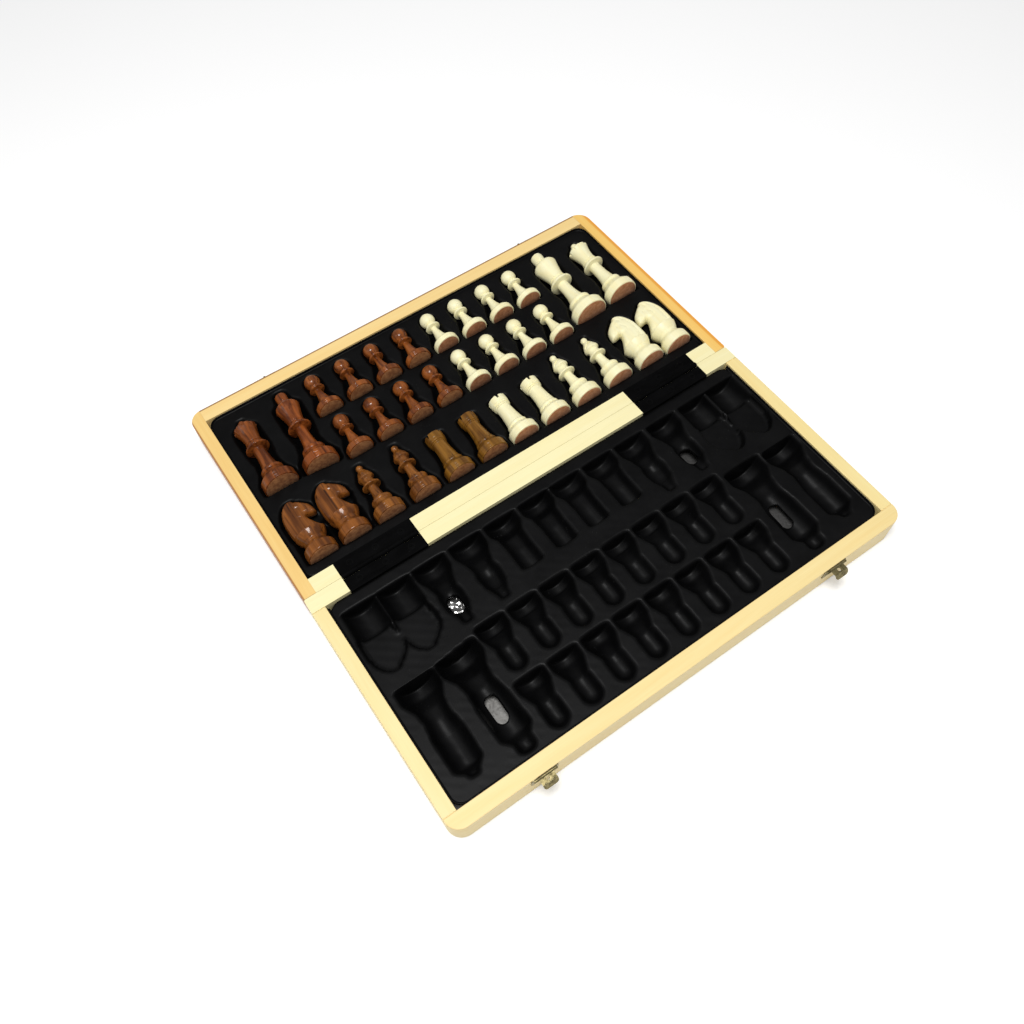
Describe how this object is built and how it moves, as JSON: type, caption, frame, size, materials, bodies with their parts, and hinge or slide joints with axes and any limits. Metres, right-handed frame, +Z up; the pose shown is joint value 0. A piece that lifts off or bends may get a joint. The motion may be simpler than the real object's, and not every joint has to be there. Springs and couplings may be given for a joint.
{
  "type": "chess box with hinged lid",
  "caption": "Folding wooden chess box, open flat, with flocked trays that hold a full turned chess set, butt hinges, small hasps and a playing board underneath.",
  "frame": {"origin": "middle of the open box's footprint, on the plane that it stands on", "axes": "+X to the right along the hinges, +Y away from the lid towards the half that holds the pieces, +Z up"},
  "size_m": [0.38, 0.3908, 0.0366],
  "materials": {
    "pale_wood": "clear satin lacquer",
    "walnut": "satin lacquer",
    "light_inlay": "satin lacquer",
    "grey_liner": "matte",
    "black_flock": "flocked",
    "black_hinge": "black oxide, satin",
    "dull_brass": "dull plated",
    "light_piece": "satin lacquer",
    "dark_piece": "gloss lacquer"
  },
  "bodies": {
    "base": {"base_far_wall": "pale_wood", "base_left_wall": "pale_wood", "base_right_wall": "pale_wood", "base_hinge_wall": "pale_wood", "base_panel": "walnut", "base_light_squares": "light_inlay", "base_liner": "grey_liner", "base_tray": "black_flock", "base_hinge_leaves": "black_hinge", "hinge_pins": "black_hinge", "base_hinge_screws": "black_hinge", "catch_plates": "dull_brass", "catch_nails": "dull_brass"},
    "lid": {"lid_front_wall": "pale_wood", "lid_left_wall": "pale_wood", "lid_right_wall": "pale_wood", "lid_hinge_wall": "pale_wood", "lid_panel": "walnut", "lid_light_squares": "light_inlay", "lid_liner": "grey_liner", "lid_tray": "black_flock", "lid_hinge_leaves": "black_hinge", "lid_hinge_screws": "black_hinge", "latch_plates": "dull_brass", "latch_nails": "dull_brass", "hasp_pins": "dull_brass"},
    "hasp_left": {"hasp_left": "dull_brass"},
    "hasp_right": {"hasp_right": "dull_brass"},
    "king_light": {"king_light": "light_piece"},
    "queen_light": {"queen_light": "light_piece"},
    "rook_light_1": {"rook_light_1": "light_piece"},
    "rook_light_2": {"rook_light_2": "light_piece"},
    "bishop_light_1": {"bishop_light_1": "light_piece"},
    "bishop_light_2": {"bishop_light_2": "light_piece"},
    "knight_light_1": {"knight_light_1": "light_piece"},
    "knight_light_2": {"knight_light_2": "light_piece"},
    "pawn_light_1": {"pawn_light_1": "light_piece"},
    "pawn_light_2": {"pawn_light_2": "light_piece"},
    "pawn_light_3": {"pawn_light_3": "light_piece"},
    "pawn_light_4": {"pawn_light_4": "light_piece"},
    "pawn_light_5": {"pawn_light_5": "light_piece"},
    "pawn_light_6": {"pawn_light_6": "light_piece"},
    "pawn_light_7": {"pawn_light_7": "light_piece"},
    "pawn_light_8": {"pawn_light_8": "light_piece"},
    "king_dark": {"king_dark": "dark_piece"},
    "queen_dark": {"queen_dark": "dark_piece"},
    "rook_dark_1": {"rook_dark_1": "dark_piece"},
    "rook_dark_2": {"rook_dark_2": "dark_piece"},
    "bishop_dark_1": {"bishop_dark_1": "dark_piece"},
    "bishop_dark_2": {"bishop_dark_2": "dark_piece"},
    "knight_dark_1": {"knight_dark_1": "dark_piece"},
    "knight_dark_2": {"knight_dark_2": "dark_piece"},
    "pawn_dark_1": {"pawn_dark_1": "dark_piece"},
    "pawn_dark_2": {"pawn_dark_2": "dark_piece"},
    "pawn_dark_3": {"pawn_dark_3": "dark_piece"},
    "pawn_dark_4": {"pawn_dark_4": "dark_piece"},
    "pawn_dark_5": {"pawn_dark_5": "dark_piece"},
    "pawn_dark_6": {"pawn_dark_6": "dark_piece"},
    "pawn_dark_7": {"pawn_dark_7": "dark_piece"},
    "pawn_dark_8": {"pawn_dark_8": "dark_piece"}
  },
  "joints": [
    {"name": "lid_hinge", "type": "hinge", "parent": "base", "child": "lid", "pos_m": [0, 0.00333, 0.02515], "axis": [1, 0, 0], "range_deg": [-180, 0]},
    {"name": "hasp_left_turn", "type": "hinge", "parent": "lid", "child": "hasp_left", "pos_m": [-0.123, -0.18797, 0.0244], "axis": [1, 0, 0], "range_deg": [-90, 55]},
    {"name": "hasp_right_turn", "type": "hinge", "parent": "lid", "child": "hasp_right", "pos_m": [0.123, -0.18797, 0.0244], "axis": [1, 0, 0], "range_deg": [-90, 55]},
    {"name": "lift_king_light", "type": "slide", "parent": "base", "child": "king_light", "axis": [0, 0, 1], "range_m": [0, 0.04]},
    {"name": "lift_queen_light", "type": "slide", "parent": "base", "child": "queen_light", "axis": [0, 0, 1], "range_m": [0, 0.04]},
    {"name": "lift_rook_light_1", "type": "slide", "parent": "base", "child": "rook_light_1", "axis": [0, 0, 1], "range_m": [0, 0.04]},
    {"name": "lift_rook_light_2", "type": "slide", "parent": "base", "child": "rook_light_2", "axis": [0, 0, 1], "range_m": [0, 0.04]},
    {"name": "lift_bishop_light_1", "type": "slide", "parent": "base", "child": "bishop_light_1", "axis": [0, 0, 1], "range_m": [0, 0.04]},
    {"name": "lift_bishop_light_2", "type": "slide", "parent": "base", "child": "bishop_light_2", "axis": [0, 0, 1], "range_m": [0, 0.04]},
    {"name": "lift_knight_light_1", "type": "slide", "parent": "base", "child": "knight_light_1", "axis": [0, 0, 1], "range_m": [0, 0.04]},
    {"name": "lift_knight_light_2", "type": "slide", "parent": "base", "child": "knight_light_2", "axis": [0, 0, 1], "range_m": [0, 0.04]},
    {"name": "lift_pawn_light_1", "type": "slide", "parent": "base", "child": "pawn_light_1", "axis": [0, 0, 1], "range_m": [0, 0.04]},
    {"name": "lift_pawn_light_2", "type": "slide", "parent": "base", "child": "pawn_light_2", "axis": [0, 0, 1], "range_m": [0, 0.04]},
    {"name": "lift_pawn_light_3", "type": "slide", "parent": "base", "child": "pawn_light_3", "axis": [0, 0, 1], "range_m": [0, 0.04]},
    {"name": "lift_pawn_light_4", "type": "slide", "parent": "base", "child": "pawn_light_4", "axis": [0, 0, 1], "range_m": [0, 0.04]},
    {"name": "lift_pawn_light_5", "type": "slide", "parent": "base", "child": "pawn_light_5", "axis": [0, 0, 1], "range_m": [0, 0.04]},
    {"name": "lift_pawn_light_6", "type": "slide", "parent": "base", "child": "pawn_light_6", "axis": [0, 0, 1], "range_m": [0, 0.04]},
    {"name": "lift_pawn_light_7", "type": "slide", "parent": "base", "child": "pawn_light_7", "axis": [0, 0, 1], "range_m": [0, 0.04]},
    {"name": "lift_pawn_light_8", "type": "slide", "parent": "base", "child": "pawn_light_8", "axis": [0, 0, 1], "range_m": [0, 0.04]},
    {"name": "lift_king_dark", "type": "slide", "parent": "base", "child": "king_dark", "axis": [0, 0, 1], "range_m": [0, 0.04]},
    {"name": "lift_queen_dark", "type": "slide", "parent": "base", "child": "queen_dark", "axis": [0, 0, 1], "range_m": [0, 0.04]},
    {"name": "lift_rook_dark_1", "type": "slide", "parent": "base", "child": "rook_dark_1", "axis": [0, 0, 1], "range_m": [0, 0.04]},
    {"name": "lift_rook_dark_2", "type": "slide", "parent": "base", "child": "rook_dark_2", "axis": [0, 0, 1], "range_m": [0, 0.04]},
    {"name": "lift_bishop_dark_1", "type": "slide", "parent": "base", "child": "bishop_dark_1", "axis": [0, 0, 1], "range_m": [0, 0.04]},
    {"name": "lift_bishop_dark_2", "type": "slide", "parent": "base", "child": "bishop_dark_2", "axis": [0, 0, 1], "range_m": [0, 0.04]},
    {"name": "lift_knight_dark_1", "type": "slide", "parent": "base", "child": "knight_dark_1", "axis": [0, 0, 1], "range_m": [0, 0.04]},
    {"name": "lift_knight_dark_2", "type": "slide", "parent": "base", "child": "knight_dark_2", "axis": [0, 0, 1], "range_m": [0, 0.04]},
    {"name": "lift_pawn_dark_1", "type": "slide", "parent": "base", "child": "pawn_dark_1", "axis": [0, 0, 1], "range_m": [0, 0.04]},
    {"name": "lift_pawn_dark_2", "type": "slide", "parent": "base", "child": "pawn_dark_2", "axis": [0, 0, 1], "range_m": [0, 0.04]},
    {"name": "lift_pawn_dark_3", "type": "slide", "parent": "base", "child": "pawn_dark_3", "axis": [0, 0, 1], "range_m": [0, 0.04]},
    {"name": "lift_pawn_dark_4", "type": "slide", "parent": "base", "child": "pawn_dark_4", "axis": [0, 0, 1], "range_m": [0, 0.04]},
    {"name": "lift_pawn_dark_5", "type": "slide", "parent": "base", "child": "pawn_dark_5", "axis": [0, 0, 1], "range_m": [0, 0.04]},
    {"name": "lift_pawn_dark_6", "type": "slide", "parent": "base", "child": "pawn_dark_6", "axis": [0, 0, 1], "range_m": [0, 0.04]},
    {"name": "lift_pawn_dark_7", "type": "slide", "parent": "base", "child": "pawn_dark_7", "axis": [0, 0, 1], "range_m": [0, 0.04]},
    {"name": "lift_pawn_dark_8", "type": "slide", "parent": "base", "child": "pawn_dark_8", "axis": [0, 0, 1], "range_m": [0, 0.04]}
  ]
}
